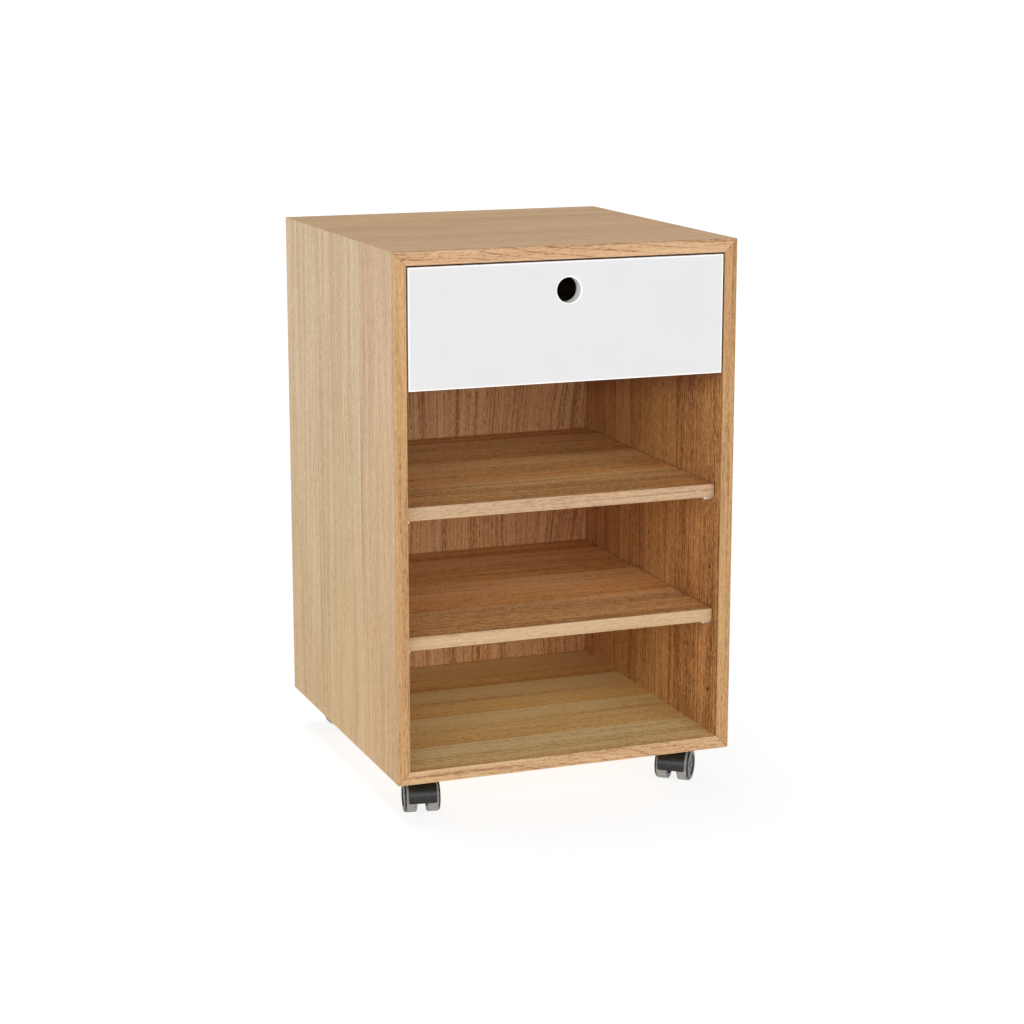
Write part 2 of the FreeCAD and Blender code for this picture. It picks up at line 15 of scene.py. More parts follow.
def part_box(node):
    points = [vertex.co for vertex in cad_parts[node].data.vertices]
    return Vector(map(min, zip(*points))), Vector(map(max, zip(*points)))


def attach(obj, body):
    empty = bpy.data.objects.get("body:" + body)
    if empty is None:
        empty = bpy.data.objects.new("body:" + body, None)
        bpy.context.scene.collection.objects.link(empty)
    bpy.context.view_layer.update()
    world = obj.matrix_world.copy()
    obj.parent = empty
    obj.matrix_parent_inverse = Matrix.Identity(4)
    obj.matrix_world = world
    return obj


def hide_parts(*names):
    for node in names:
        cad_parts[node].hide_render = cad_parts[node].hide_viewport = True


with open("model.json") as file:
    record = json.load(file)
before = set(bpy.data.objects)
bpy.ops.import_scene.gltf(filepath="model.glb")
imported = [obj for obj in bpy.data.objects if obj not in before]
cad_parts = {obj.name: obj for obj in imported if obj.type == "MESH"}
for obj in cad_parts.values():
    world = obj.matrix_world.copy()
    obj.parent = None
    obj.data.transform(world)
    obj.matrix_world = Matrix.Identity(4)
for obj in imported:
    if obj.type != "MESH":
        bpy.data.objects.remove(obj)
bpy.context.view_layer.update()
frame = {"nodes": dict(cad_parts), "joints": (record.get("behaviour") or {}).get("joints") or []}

MM = 0.001
CASTORS = ("front_left", "front_right", "back_left", "back_right")
SIDES = (("left", -1), ("right", 1))

# Camera: where the photographer stood, and the lens on a 36 mm wide sensor
CAMERA_PLACE = (-1.0721, -2.8425, 0.9828)
CAMERA_PITCH = 77.634
CAMERA_TURN = -20.892
CAMERA_LENS = 86.30

# Studio
SKY_LIGHT = 0.25
FLOOR_GLOW = 0.83
LIGHTS = {
    "right_front_light": (-14, 17, 36, 1.10),
    "left_front_light": (34, 18, 36, 0.81),
    "left_light": (64, 12, 30, 0.35),
    "top_light": (150, 76, 28, 1.24),
}

# The case's hollow
INSIDE_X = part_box("back_panel")[1].x - 6 * MM
INSIDE_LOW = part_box("bottom_panel")[1].z
INSIDE_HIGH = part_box("top_panel")[0].z
CASE_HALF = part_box("right_side_panel")[1].x
CASE_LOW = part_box("bottom_panel")[0].z
CASE_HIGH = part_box("top_panel")[1].z
LIPPING_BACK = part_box("left_lipping")[1].y
DRAWER_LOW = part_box("drawer_front")[0].z
HOLE_CLEAR = 20 * MM
PLIES = 9

FINGER_HOLE_R = 15.0
FINGER_HOLE_HEIGHT = 625.0

# Castor sizes, in each castor's own frame: the swivel axis is Z, and the axle runs along X
AXLE_BACK = 14.0
AXLE_HEIGHT = 20.0
AXLE_BORE = 3.05
WHEEL_INNER = 6.5
WHEEL_R = 20.0
WHEEL_WIDTH = 15.0
WHEEL_BORE_DEPTH = 11.3
HUB_R = 6.0
INNER_DISH_R = 14.0
INNER_DISH_DEPTH = 2.0
SEAT_R = 17.0
TREAD_WIDTH = 13.0
TREAD_FIT = 0.05
TREAD_ROUND = 1.5
RIM_R = 19.4
RIM_ROUND = 1.2
DISH_R = 13.5
DISH_DEPTH = 1.2
CAP_R = 4.5
WEB_HALF = 6.2
AXLE_BOSS_R = 9.0
HOOD_INNER_R = 21.0
HOOD_OUTER_R = 22.5
HOOD_HALF = 17.0
HOOD_LOW = -10.0
HOOD_HIGH = 112.0
HOOD_CORNER = 2.0
HOOD_EDGE = 0.45
DIMPLE_R = 4.2
DIMPLE_DEPTH = 0.7
DIMPLE_ANGLE = 52.0
BLOCK_BACK = 7.5
BLOCK_LOW = 24.0
BLOCK_ROUND = 3.0
HEAD_R = 9.0
HEAD_LOW = 42.3
HEAD_TOP = 44.3

# Rail screws and shelf pins
SCREW_R = 1.75
SCREW_HEAD_R = 3.4
SCREW_HEAD_HEIGHT = 1.8
SCREW_LENGTH = 12.0
DRAWER_SCREW_LENGTH = 9.0
SCREW_RECESS = 0.8
SCREW_PITCH = 1.3
PIN_R = 2.5
PIN_LENGTH = 20.0
PIN_CHAMFER = 0.5


def paint(red, green, blue):
    """A colour given as it looks on a screen, from 0 to 255, in linear light."""
    def linear(value):
        share = value / 255
        return share / 12.92 if share <= 0.04045 else ((share + 0.055) / 1.055) ** 2.4
    return (linear(red), linear(green), linear(blue), 1.0)


OAK_INSIDE = (paint(222, 178, 124), paint(204, 156, 102), paint(158, 108, 62))
# The right wall's inner face, deeper in its middle and dark tones than the left's: partly the board's own
# tone, partly painted shade on that wall
OAK_RIGHT_INSIDE = (paint(230, 183, 125), paint(200, 149, 94), paint(127, 85, 46))
OAK_SIDE = (paint(229, 205, 171), paint(212, 184, 147), paint(188, 154, 114))
OAK_TOP = (paint(226, 193, 153), paint(211, 175, 135), paint(186, 146, 105))
OAK_BACK = (paint(250, 206, 152), paint(230, 180, 126), paint(172, 118, 74))
OAK_SHELF = (paint(244, 204, 146), paint(223, 179, 124), paint(168, 121, 75))
OAK_LOWER_SHELF = (paint(249, 215, 161), paint(230, 192, 140), paint(175, 132, 88))
OAK_FLOOR = (paint(249, 238, 193), paint(238, 221, 168), paint(205, 176, 122))
OAK_LIPPING = (paint(202, 163, 115), paint(183, 141, 93), paint(146, 103, 61))
OAK_TOP_LIPPING = (paint(212, 176, 138), paint(197, 158, 118), paint(142, 96, 60))
OAK_BOTTOM_LIPPING = (paint(212, 180, 138), paint(197, 163, 120), paint(150, 110, 72))
OAK_SHELF_LIPPING = (paint(208, 178, 146), paint(192, 160, 126), paint(160, 122, 88))
BIRCH = (paint(236, 216, 182), paint(224, 200, 160), paint(196, 164, 120))
BEECH = (paint(222, 184, 146), paint(206, 164, 124), paint(176, 130, 92))
OAK_BROWNED = paint(253, 236, 204)
# Outside of the sides darker and yellower towards the feet
OAK_FOOT_TINT = paint(243, 234, 210)
# Painted shadow of the drawer, laid on the inner walls just under it
OAK_PAINTED_SHADOW = paint(222, 206, 226)
OAK_JOINT = paint(96, 62, 36)
# Painted shade inside the bored holes
HOLE_SHADE_PAINT = paint(70, 46, 28)
END_GRAIN_AND_GAP_SHADE = paint(132, 96, 62)
# Shelf ends: a darker end grain tone that also paints shade of the gap at the wall
PLY_END = paint(150, 112, 72)
OAK_HUES = ((0.3, paint(255, 246, 240)), (0.5, paint(255, 255, 255)), (0.7, paint(255, 254, 243)))

# The oak's patterns. Each has its rate along and across the grain in 1/m, its noise detail and
# roughness, and its strength. FIGURE says how much of each a piece has, unless it says otherwise
PATTERNS = {
    "bands": (1.1, 62, 2.0, 0.5, 1.2),
    "lines": (4.5, 400, 2.0, 0.6, 1.5),
    "streaks": (48, 520, 1.0, 0.5, 1.3),
    "flecks": (110, 760, 2.0, 0.75, 1.6),
    "specks": (300, 520, 1.0, 0.7, 0.75),
    "fibres": (70, 1500, 1.0, 0.5, 0.4),
    "veins": (2.8, 210, 1.0, 0.5, 0.0),
}
PORE_RATES = (120, 2300, 2300)
FIGURE = dict(bands=0.6, lines=1.0, streaks=1.0, flecks=1.0, specks=1.0, fibres=1.0, veins=0.7, spread=1.0,
              bow=0.010, bow_rate=1.6, rings=0.0)
Planks = namedtuple("Planks", "joint width tone grade")


class Finish:
    """One material's nodes. An input may be a number, a colour, a vector or a node's output."""

    def __init__(self, name):
        self.material = bpy.data.materials.new(name)
        self.material.use_nodes = True
        self.nodes = self.material.node_tree.nodes
        self.links = self.material.node_tree.links
        self.shader = self.nodes["Principled BSDF"]

    def put(self, socket, value):
        if isinstance(value, bpy.types.NodeSocket):
            self.links.new(value, socket)
        else:
            socket.default_value = value

    def node(self, kind, inputs, out=0, **settings):
        made = self.nodes.new("ShaderNode" + kind)
        for key, value in settings.items():
            setattr(made, key, value)
        for key, value in inputs.items():
            self.put(made.inputs[key], value)
        return made.outputs[out]

    def math(self, operation, first, second=0.0, third=0.0, clamp=False):
        inputs = {0: first, 1: second, 2: third}
        return self.node("Math", inputs, operation=operation, use_clamp=clamp)

    def add(self, *values):
        total = values[0]
        for value in values[1:]:
            total = self.math("ADD", total, value)
        return total

    def times(self, first, second):
        return self.math("MULTIPLY", first, second)

    def swing(self, value, weight):
        """A noise value as a swing about zero, by half the weight each way."""
        return self.times(self.math("SUBTRACT", value, 0.5), weight)

    def step(self, value, start, end, low=0.0, high=1.0):
        """A smooth rise from low to high while value goes from start to end."""
        inputs = {0: value, 1: start, 2: end, 3: low, 4: high}
        return self.node("MapRange", inputs, interpolation_type="SMOOTHSTEP")

    def mix(self, share, first, second, blend="MIX"):
        inputs = {0: share, 6: first, 7: second}
        return self.node("Mix", inputs, out=2, data_type="RGBA", blend_type=blend)

    def ramp(self, value, *stops):
        output = self.node("ValToRGB", {0: value})
        elements = output.node.color_ramp.elements
        while len(elements) < len(stops):
            elements.new(0.5)
        for element, (place, colour) in zip(elements, stops):
            element.position = place
            element.color = colour
        return output

    def object_place(self):
        return self.node("TexCoord", {}, out="Object")

    def split(self, vector):
        made = self.node("SeparateXYZ", {0: vector}).node
        return [made.outputs[i] for i in range(3)]

    def join(self, x, y, z):
        return self.node("CombineXYZ", {0: x, 1: y, 2: z})

    def scaled(self, vector, scale, shift=(0, 0, 0)):
        return self.node("Mapping", {"Vector": vector, "Scale": scale, "Location": shift})

    def noise(self, vector, detail=2.0, roughness=0.5, distortion=0.0, scale=1.0):
        inputs = {"Vector": vector, "Scale": scale, "Detail": detail}
        inputs.update({"Roughness": roughness, "Distortion": distortion})
        return self.node("TexNoise", inputs)

    def bump(self, height, strength, distance, below=None):
        inputs = {"Height": height, "Strength": strength, "Distance": distance}
        if below is not None:
            inputs["Normal"] = below
        return self.node("Bump", inputs)

    def done(self, **sockets):
        for key, value in sockets.items():
            self.put(self.shader.inputs[key.replace("_", " ")], value)
        return self.material


def near_arris(f, place, low, high, width):
    """1 along the edges of the box from low to high, falling to 0 over the given width."""
    near = []
    for value, a, b in zip(f.split(place), low, high):
        middle, half = (a + b) / 2, (b - a) / 2
        out = f.math("ABSOLUTE", f.math("SUBTRACT", value, middle))
        near.append(f.step(out, half - width, half))
    pairs = [f.times(near[i], near[j]) for i, j in ((0, 1), (1, 2), (0, 2))]
    return f.math("MAXIMUM", pairs[0], f.math("MAXIMUM", pairs[1], pairs[2]))


def grain_place(f, place, order, start):
    """Coordinates along the grain, across it and into the board, moved to a fresh bit of wood."""
    parts = dict(zip("xyz", f.split(place)))
    turned = f.join(*[parts[axis] for axis in order])
    return f.scaled(turned, (1, 1, 1), start)


def inside_case(f, place):
    """1 on the faces that look into the case, 0 on its outside."""
    x, y, z = f.split(place)
    share = f.step(f.math("ABSOLUTE", x), INSIDE_X + 0.5 * MM, INSIDE_X + 0.3 * MM)
    share = f.times(share, f.step(z, INSIDE_LOW - 0.5 * MM, INSIDE_LOW - 0.3 * MM))
    share = f.times(share, f.step(z, INSIDE_HIGH + 0.5 * MM, INSIDE_HIGH + 0.3 * MM))
    return share


def bored_walls(f, place):
    """1 on the walls of the holes bored into the sides, which are painted dark as shade inside the holes."""
    x, y, z = f.split(place)
    deep, aside = f.math("ABSOLUTE", x), f.math("ABSOLUTE", y)
    front = -LIPPING_BACK - 1 * MM
    low, high = INSIDE_LOW + HOLE_CLEAR, INSIDE_HIGH - HOLE_CLEAR
    share = f.step(deep, INSIDE_X + 0.2 * MM, INSIDE_X + 0.6 * MM)
    share = f.times(share, f.step(deep, CASE_HALF - 0.4 * MM, CASE_HALF - 0.8 * MM))
    share = f.times(share, f.step(aside, front, front - 0.4 * MM))
    share = f.times(share, f.step(z, low, low + 1 * MM))
    return f.times(share, f.step(z, high, high - 1 * MM))


def case_joints(f, place, mitred):
    """1 along the lippings' mitres, or where the boards meet the lippings at the front."""
    x, y, z = f.split(place)
    if not mitred:
        return f.step(y, LIPPING_BACK + 1.3 * MM, LIPPING_BACK + 0.7 * MM)
    aside = f.math("SUBTRACT", CASE_HALF, f.math("ABSOLUTE", x))
    height = f.math("MINIMUM", f.math("SUBTRACT", z, CASE_LOW), f.math("SUBTRACT", CASE_HIGH, z))
    return f.step(f.math("ABSOLUTE", f.math("SUBTRACT", aside, height)), 0.9 * MM, 0.5 * MM)


def plank_marks(f, place, order, start, planks):
    """Two numbers of its own for each plank, and how far across it from its back joint."""
    across = f.split(place)["xyz".index(order[1])]
    count = f.math("DIVIDE", f.math("SUBTRACT", planks.joint, across), planks.width)
    number = f.math("FLOOR", count)
    own, other = [
        f.node("TexWhiteNoise", {"W": f.add(number, seed * 10)}, noise_dimensions="1D")
        for seed in (start[1], start[0])
    ]
    return own, other, f.math("SUBTRACT", count, number)


def sweeping_rings(f, wood):
    """Growth rings of a flat sawn board: thin dark lines that slant across it, near and far apart."""
    along, across, through = f.split(wood)
    sway = f.noise(f.scaled(wood, (2.2, 14, 14)), detail=2.0)
    slope = f.add(f.times(across, 100), f.times(along, 13.0), f.times(through, 40), f.times(sway, 6.0))
    wave = f.math("PINGPONG", slope, 0.5)
    line = f.step(wave, 0.10, 0.0)
    presence = f.step(f.noise(f.scaled(wood, (9, 20, 20)), detail=1.0), 0.45, 0.60)
    return f.times(line, presence)


def plywood_layers(f, place, box, axis, thick):
    """1 on every second layer of a plywood, counted through its thickness."""
    deep = f.math("SUBTRACT", f.split(place)[axis], box[0][axis] - thick / 2)
    layer = f.math("DIVIDE", f.math("PINGPONG", deep, thick), thick)
    return f.step(layer, 0.48, 0.30)


def oak(
    name, box, order, start, tones, inner=None, planks=None, side=False, ends=None, mitred=False,
    plies=0.0, **figure,
):
    """Matt lacquered oak, or another wood of such tones.

    order names the axes along the grain, across it and into the board, and start picks a fresh
    bit of wood. tones are the pale, middle and dark colours of the figure, and inner those of
    the faces that look into the case. planks holds a glue joint's place, the planks' width, how
    much they differ and how far each one browns towards the front. side marks a side panel: its
    outside grows darker and yellower towards the feet, its inner face gets a painted shadow of
    the drawer and its bored holes get painted shade. ends says where a shelf's end edges begin,
    which are painted darker as end grain and as shade of the gap at the wall. mitred marks the
    lippings, and plies is the thickness of a plywood's layers. The rest is the figure, as FIGURE
    lists it.
    """
    f = Finish(name)
    place = f.object_place()
    figure = {**FIGURE, **figure}
    if inner:
        share = inside_case(f, place)
        tones = [f.mix(share, out, into) for out, into in zip(tones, inner)]
    pale, middle, dark = tones
    wood = grain_place(f, place, order, start)
    if planks:
        own, other, way = plank_marks(f, place, order, start, planks)
        along, across, through = f.split(wood)
        along, through = f.add(along, f.times(own, 7.0)), f.add(through, f.times(other, 3.0))
        wood = f.join(along, across, through)
    along, across, through = f.split(wood)
    sway = f.noise(f.scaled(wood, (figure["bow_rate"], 9, 9)), detail=1.0)
    bent = f.join(along, f.add(across, f.swing(sway, figure["bow"])), through)

    fields = {}
    for key, (rate, fine, detail, roughness, strength) in PATTERNS.items():
        fine /= figure["spread"] ** (0.5 if key in ("flecks", "specks") else 1.0)
        fields[key] = f.noise(f.scaled(bent, (rate, fine, fine)), detail=detail, roughness=roughness)
    cloud = f.noise(f.scaled(wood, (2.6, 15, 12)), detail=2.0)
    hue_field = f.noise(f.scaled(wood, (0.7, 17, 17)), detail=1.0)
    vein_lines = f.step(fields["veins"], 0.60, 0.68)
    level = f.add(0.5, f.swing(cloud, 0.6), f.times(vein_lines, -0.26 * figure["veins"]))
    for key, (_, _, _, _, strength) in PATTERNS.items():
        if strength:
            level = f.add(level, f.swing(fields[key], strength * figure[key]))
    if planks:
        level = f.add(level, f.swing(own, planks.tone), f.swing(way, -0.5 * planks.grade))
        hue_field = f.add(f.times(hue_field, 0.6), f.times(other, 0.4))
    if figure["rings"]:
        level = f.math("SUBTRACT", level, f.times(sweeping_rings(f, bent), figure["rings"]))
    colour = f.mix(f.step(level, 0.0, 0.5), dark, middle)
    colour = f.mix(f.step(level, 0.5, 1.0), colour, pale)
    colour = f.mix(1.0, colour, f.ramp(hue_field, *OAK_HUES), "MULTIPLY")

    pores = f.noise(f.scaled(bent, PORE_RATES), detail=1.0)
    open_bands = f.step(fields["lines"], 0.62, 0.40)
    pores = f.times(f.step(pores, 0.60, 0.72), f.add(0.25, f.times(open_bands, 0.75)))
    colour = f.mix(f.times(pores, 0.45), colour, dark)
    if planks:
        browned = f.times(f.step(way, 0.0, 1.0), planks.grade)
        colour = f.mix(browned, colour, OAK_BROWNED, "MULTIPLY")
        near_joint = f.times(f.math("PINGPONG", way, 0.5), planks.width)
        colour = f.mix(f.step(near_joint, 0.5 * MM, 0.2 * MM, high=0.35), colour, dark)
    if side:
        _, y, z = f.split(place)
        # The outside faces grow darker and yellower towards the bottom
        foot_tint = f.times(f.step(z, CASE_HIGH, CASE_LOW), f.math("SUBTRACT", 1.0, share))
        colour = f.mix(foot_tint, colour, OAK_FOOT_TINT, "MULTIPLY")
        # Painted shadow of the drawer: the inner face darkens above a line that falls towards the back
        painted_drawer_shadow = f.step(f.add(z, f.times(y, 0.18)), DRAWER_LOW - 75 * MM, DRAWER_LOW - 30 * MM)
        colour = f.mix(f.times(painted_drawer_shadow, share), colour, OAK_PAINTED_SHADOW, "MULTIPLY")
        # Painted shade on the walls of the bored holes
        colour = f.mix(bored_walls(f, place), colour, HOLE_SHADE_PAINT)
    if inner or mitred:
        colour = f.mix(f.times(case_joints(f, place, mitred), 0.4), colour, OAK_JOINT)
    if ends:
        # Shelf ends painted darker: end grain tone and painted shade of the gap against the wall
        aside = f.math("ABSOLUTE", f.split(place)[0])
        colour = f.mix(f.step(aside, ends, ends + 0.5 * MM), colour, END_GRAIN_AND_GAP_SHADE)
    if plies:
        layers = plywood_layers(f, place, box, "xyz".index(order[2]), plies)
        colour = f.mix(f.times(layers, 0.55), colour, PLY_END)

    edge_wear_and_highlight = near_arris(f, place, *box, 1.3 * MM)
    rubbed = f.times(edge_wear_and_highlight, f.step(f.noise(f.scaled(place, (60, 60, 60)), detail=3.0), 0.35, 0.65))
    colour = f.mix(f.times(rubbed, 0.35), colour, pale)
    fibres = fields["fibres"]
    rough = f.add(0.50, f.times(pores, 0.22), f.times(rubbed, -0.12), f.swing(cloud, 0.14))
    rough = f.add(rough, f.swing(fibres, 0.10))
    relief = f.add(f.times(fibres, 0.4), f.times(fields["lines"], 0.4), f.times(pores, -1.0))
    relief = f.add(relief, f.times(vein_lines, -0.3))
    f.put(f.shader.inputs["Specular IOR Level"], 0.35)
    return f.done(Base_Color=colour, Roughness=rough, Normal=f.bump(relief, 0.25, 0.25 * MM))


class Growth:
    """A geometry nodes tree with named inputs, and the plain mesh that it makes."""

    def __init__(self, name, **inputs):
        self.tree = bpy.data.node_groups.new(name, "GeometryNodeTree")
        face = self.tree.interface
        face.new_socket("Made", in_out="OUTPUT", socket_type="NodeSocketGeometry")
        self.keys = {}
        for key, kind in inputs.items():
            made = face.new_socket(key, in_out="INPUT", socket_type="NodeSocket" + kind)
            self.keys[key] = made.identifier
        self.start = self.tree.nodes.new("NodeGroupInput")

    def given(self, key):
        return self.start.outputs[key]

    def node(self, kind, inputs, out=0, **settings):
        made = self.tree.nodes.new(kind)
        for key, value in settings.items():
            setattr(made, key, value)
        for key, value in inputs.items():
            if isinstance(value, bpy.types.NodeSocket):
                self.tree.links.new(value, made.inputs[key])
            else:
                made.inputs[key].default_value = value
        return made.outputs[out]

    def ends(self, geometry):
        real = self.node("GeometryNodeRealizeInstances", {0: geometry})
        smooth = self.node("GeometryNodeSetShadeSmooth", {0: real})
        dressed = self.node("GeometryNodeSetMaterial", {0: smooth, "Material": self.given("Finish")})
        end = self.tree.nodes.new("NodeGroupOutput")
        self.tree.links.new(dressed, end.inputs[0])
        return self

    def make(self, mesh, **values):
        carrier = bpy.data.objects.new(self.tree.name, mesh)
        modifier = carrier.modifiers.new(self.tree.name, "NODES")
        modifier.node_group = self.tree
        for key, value in values.items():
            modifier[self.keys[key]] = value
        made = plain_mesh(carrier)
        while made.materials[0] is None:
            made.materials.pop(index=0)
        return made


def plain_mesh(carrier):
    """The mesh that an object's modifiers make. The object itself goes."""
    bpy.context.scene.collection.objects.link(carrier)
    bpy.context.view_layer.update()
    seen = carrier.evaluated_get(bpy.context.evaluated_depsgraph_get())
    made = bpy.data.meshes.new_from_object(seen)
    bpy.data.objects.remove(carrier)
    return made


def eased(points, radii, closed=True, steps=4):
    """An outline with its corners rounded, each by its radius or as far as its sides allow."""
    made = []
    count = len(points)
    for i, point in enumerate(points):
        here = Vector(point)
        radius = radii[i] if isinstance(radii, (list, tuple)) else radii
        if radius == 0 or (not closed and i in (0, count - 1)):
            made.append(here)
            continue
        before, after = Vector(points[i - 1]), Vector(points[(i + 1) % count])
        reach = min(radius, 0.45 * (before - here).length, 0.45 * (after - here).length)
        start = here + (before - here).normalized() * reach
        end = here + (after - here).normalized() * reach
        for step in range(steps + 1):
            t = step / steps
            made.append(start.lerp(here, t).lerp(here.lerp(end, t), t))
    return made


def spun(outline, turns=96):
    """A closed outline of (along, radius) turned about the X axis. Points on the axis become poles."""
    bm = bmesh.new()
    rings = []
    for along, radius in outline:
        if radius < 1e-6:
            rings.append([bm.verts.new((along, 0, 0))])
            continue
        angles = [math.tau * i / turns for i in range(turns)]
        rings.append([bm.verts.new((along, radius * math.cos(a), radius * math.sin(a))) for a in angles])
    for first, second in zip(rings, rings[1:] + rings[:1]):
        for i in range(turns):
            j = (i + 1) % turns
            corners = [first[i % len(first)], first[j % len(first)]]
            corners += [second[j % len(second)], second[i % len(second)]]
            corners = list(dict.fromkeys(corners))
            if len(corners) > 2:
                bm.faces.new(corners)
    bmesh.ops.recalc_face_normals(bm, faces=bm.faces)
    return bm


def mesh_from(bm, name, place=None):
    """The bmesh as a mesh in metres, from millimetres, moved to its place."""
    bm.transform(Matrix.Scale(MM, 4))
    if place:
        bm.transform(place)
    mesh = bpy.data.meshes.new(name)
    bm.to_mesh(mesh)
    bm.free()
    mesh.shade_smooth()
    return mesh


def fit_piece(name, mesh, body, nodes, material=None, crease=35):
    """Puts a finished mesh on its body, in place of the nodes it stands for."""
    mesh.name = name
    mesh.set_sharp_from_angle(angle=math.radians(crease))
    if material:
        mesh.materials.clear()
        mesh.materials.append(material)
    made = bpy.data.objects.new(name, mesh)
    bpy.context.scene.collection.objects.link(made)
    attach(made, body)
    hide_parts(*nodes)
    return made


def joint(name):
    return next(row for row in frame["joints"] if row["name"] == name)


def castor_place(castor):
    """The castor's own frame at rest: Z is its swivel, X its axle, and the axle trails towards -Y."""
    along = Vector(joint(castor + "_left_wheel_spin")["axis"]).normalized()
    up = Vector((0, 0, 1))
    place = Matrix((along, up.cross(along), up)).transposed().to_4x4()
    place.translation = Vector(joint(castor + "_swivel")["pos_m"])
    return place


def axle_place(castor):
    return castor_place(castor) @ Matrix.Translation(Vector((0, -AXLE_BACK, AXLE_HEIGHT)) * MM)


def wheel_core(castor, way):
    """The nylon wheel: hub, inner dish, seat for the tread, rim and dished outer face."""
    w = WHEEL_WIDTH
    outline = [
        (WHEEL_BORE_DEPTH, 0), (WHEEL_BORE_DEPTH, AXLE_BORE), (0, AXLE_BORE),
        (0, HUB_R), (INNER_DISH_DEPTH, HUB_R + 0.4), (INNER_DISH_DEPTH, INNER_DISH_R - 0.4),
        (0, INNER_DISH_R), (0, SEAT_R), (TREAD_WIDTH, SEAT_R), (TREAD_WIDTH, RIM_R),
        (w - RIM_ROUND, RIM_R), (w, RIM_R - RIM_ROUND), (w, DISH_R),
        (w - DISH_DEPTH, DISH_R - DISH_DEPTH), (w - DISH_DEPTH, CAP_R + 0.3),
        (w - DISH_DEPTH / 2, CAP_R - 0.3), (w - DISH_DEPTH / 2, 0),
    ]
    section = eased(outline, 0.4, closed=False)
    bm = spun([(way * (WHEEL_INNER + along), radius) for along, radius in section])
    return mesh_from(bm, "wheel", axle_place(castor))


def tread_growth():
    """Geometry nodes: the tread's outline swept round the wheel."""
    g = Growth("tread_round_wheel", Outline="Geometry", Radius="Float", Turns="Int", Finish="Material")
    profile = g.node("GeometryNodeMeshToCurve", {0: g.given("Outline")})
    ring = g.node(
        "GeometryNodeCurvePrimitiveCircle",
        {"Resolution": g.given("Turns"), "Radius": g.given("Radius")},
        mode="RADIUS",
    )
    swept = g.node("GeometryNodeCurveToMesh", {"Curve": ring, "Profile Curve": profile})
    return g.ends(swept)


def tread_outline():
    """The tread's section as a loop of edges: distance from the seat, and along the axle."""
    low, high = TREAD_FIT, WHEEL_R - SEAT_R
    width = TREAD_WIDTH - TREAD_FIT
    corners = [(low, 0), (high, 0), (high, width), (low, width)]
    outline = eased(corners, (0, TREAD_ROUND, TREAD_ROUND, 0), steps=6)
    mesh = bpy.data.meshes.new("tread_outline")
    points = [(x * MM, y * MM, 0) for x, y in outline]
    count = len(points)
    mesh.from_pydata(points, [(i, (i + 1) % count) for i in range(count)], [])
    return mesh


def hood_row(inset):
    """Rows of the hood's outline, moved in by inset: (arc length along the hood, half width)."""
    middle_r = HOOD_OUTER_R
    low = math.radians(HOOD_LOW) * middle_r + inset
    high = math.radians(HOOD_HIGH) * middle_r - inset
    half, corner = HOOD_HALF - inset, HOOD_CORNER - inset
    rows = []
    for step in range(9):
        t = math.radians(90 * step / 8)
        rows.append((low + corner * (1 - math.cos(t)), half - corner * (1 - math.sin(t))))
    count = 84
    start = low + corner
    rows += [(start + (high - start) * i / count, half) for i in range(1, count + 1)]
    return rows


def hood_shell():
    """The hood over the wheels: a bent shell with rounded corners, eased edges and a finger dimple."""
    bm = bmesh.new()
    across = 60
    dimple = math.radians(DIMPLE_ANGLE) * HOOD_OUTER_R

    def vert(half, share, arc, radius, dented):
        x = half * (2 * share - 1)
        if dented:
            away = math.hypot(x, arc - dimple)
            t = min(max((DIMPLE_R + 0.5 - away) / 1.4, 0), 1)
            radius -= DIMPLE_DEPTH * t * t * (3 - 2 * t)
        angle = arc / HOOD_OUTER_R
        return bm.verts.new((x, -radius * math.cos(angle), radius * math.sin(angle)))

    def grid(inset, radius, dented):
        return [
            [vert(half, i / across, arc, radius, dented) for i in range(across + 1)]
            for arc, half in hood_row(inset)
        ]

    def border(inset, radius):
        rows = hood_row(inset)
        loop = [vert(rows[0][1], i / across, rows[0][0], radius, False) for i in range(across + 1)]
        loop += [vert(half, 1, arc, radius, False) for arc, half in rows[1:]]
        loop += [vert(rows[-1][1], 1 - i / across, rows[-1][0], radius, False) for i in range(1, across + 1)]
        loop += [vert(half, 0, arc, radius, False) for arc, half in reversed(rows[1:-1])]
        return loop

    def rim_of(rows):
        loop = list(rows[0]) + [row[-1] for row in rows[1:]]
        loop += list(reversed(rows[-1]))[1:] + [row[0] for row in reversed(rows[1:-1])]
        return loop

    outer = grid(HOOD_EDGE, HOOD_OUTER_R, True)
    inner = grid(HOOD_EDGE, HOOD_INNER_R, False)
    loops = [rim_of(outer)]
    for sign, base in ((1, HOOD_OUTER_R), (-1, HOOD_INNER_R)):
        steps = range(1, 5) if sign > 0 else range(4, 0, -1)
        for step in steps:
            t = math.radians(90 * step / 4)
            drop = HOOD_EDGE * (1 - math.cos(t))
            loops.append(border(HOOD_EDGE * (1 - math.sin(t)), base - sign * drop))
    loops.append(rim_of(inner))
    for surface in (outer, inner):
        for first, second in zip(surface, surface[1:]):
            for i in range(across):
                bm.faces.new((first[i], first[i + 1], second[i + 1], second[i]))
    for first, second in zip(loops, loops[1:]):
        count = len(first)
        for i in range(count):
            j = (i + 1) % count
            bm.faces.new((first[i], first[j], second[j], second[i]))
    bmesh.ops.recalc_face_normals(bm, faces=bm.faces)
    bmesh.ops.translate(bm, vec=(0, -AXLE_BACK, AXLE_HEIGHT), verts=bm.verts)
    return bm


